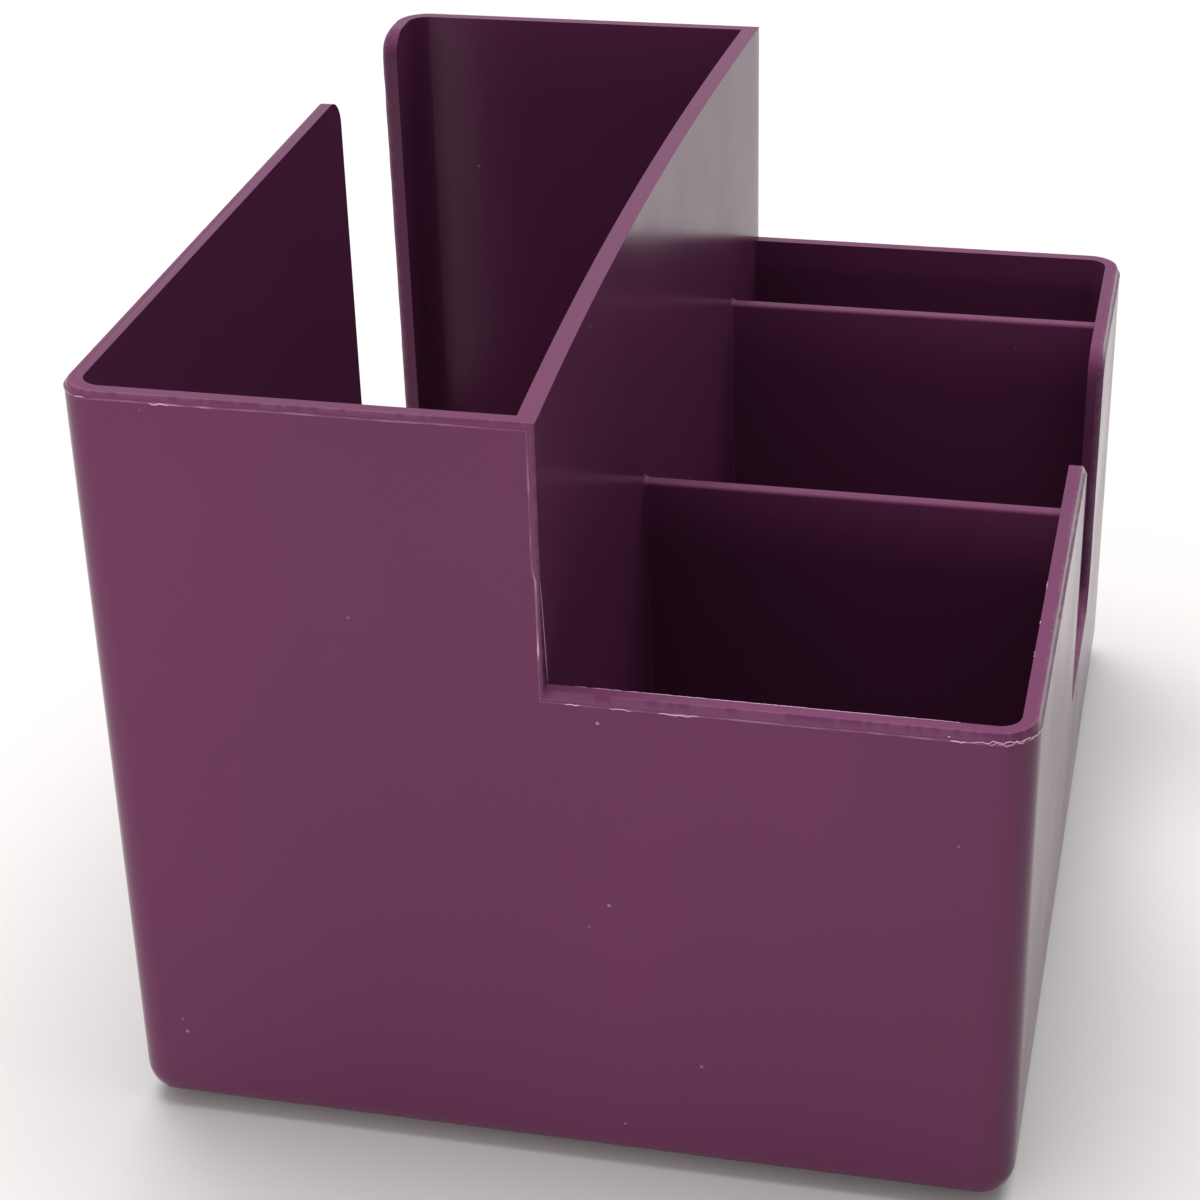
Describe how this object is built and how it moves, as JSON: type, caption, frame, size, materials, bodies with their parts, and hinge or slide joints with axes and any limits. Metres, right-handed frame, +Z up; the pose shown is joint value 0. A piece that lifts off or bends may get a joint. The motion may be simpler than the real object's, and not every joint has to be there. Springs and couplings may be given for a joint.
{
  "type": "desk organizer",
  "caption": "Stepped open-topped plastic desk box: a tall compartment beside a lower tray split by thin dividers, with finger slots in both side walls.",
  "frame": {"origin": "on the desk, under the centre of the box", "axes": "+X to the right, towards the low tray; +Y to the back, along the length of the compartments; +Z up"},
  "size_m": [0.1098, 0.141, 0.0988],
  "materials": {
    "shell_plastic": "plum injection-moulded plastic, satin to glossy",
    "divider_plastic": "plum injection-moulded plastic, satin to glossy",
    "foot_rubber": "dark matt rubber"
  },
  "bodies": {
    "root": {"body": "shell_plastic", "front_divider": "divider_plastic", "rear_divider": "divider_plastic", "foot_front_left": "foot_rubber", "foot_front_right": "foot_rubber", "foot_rear_left": "foot_rubber", "foot_rear_right": "foot_rubber"}
  },
  "joints": []
}
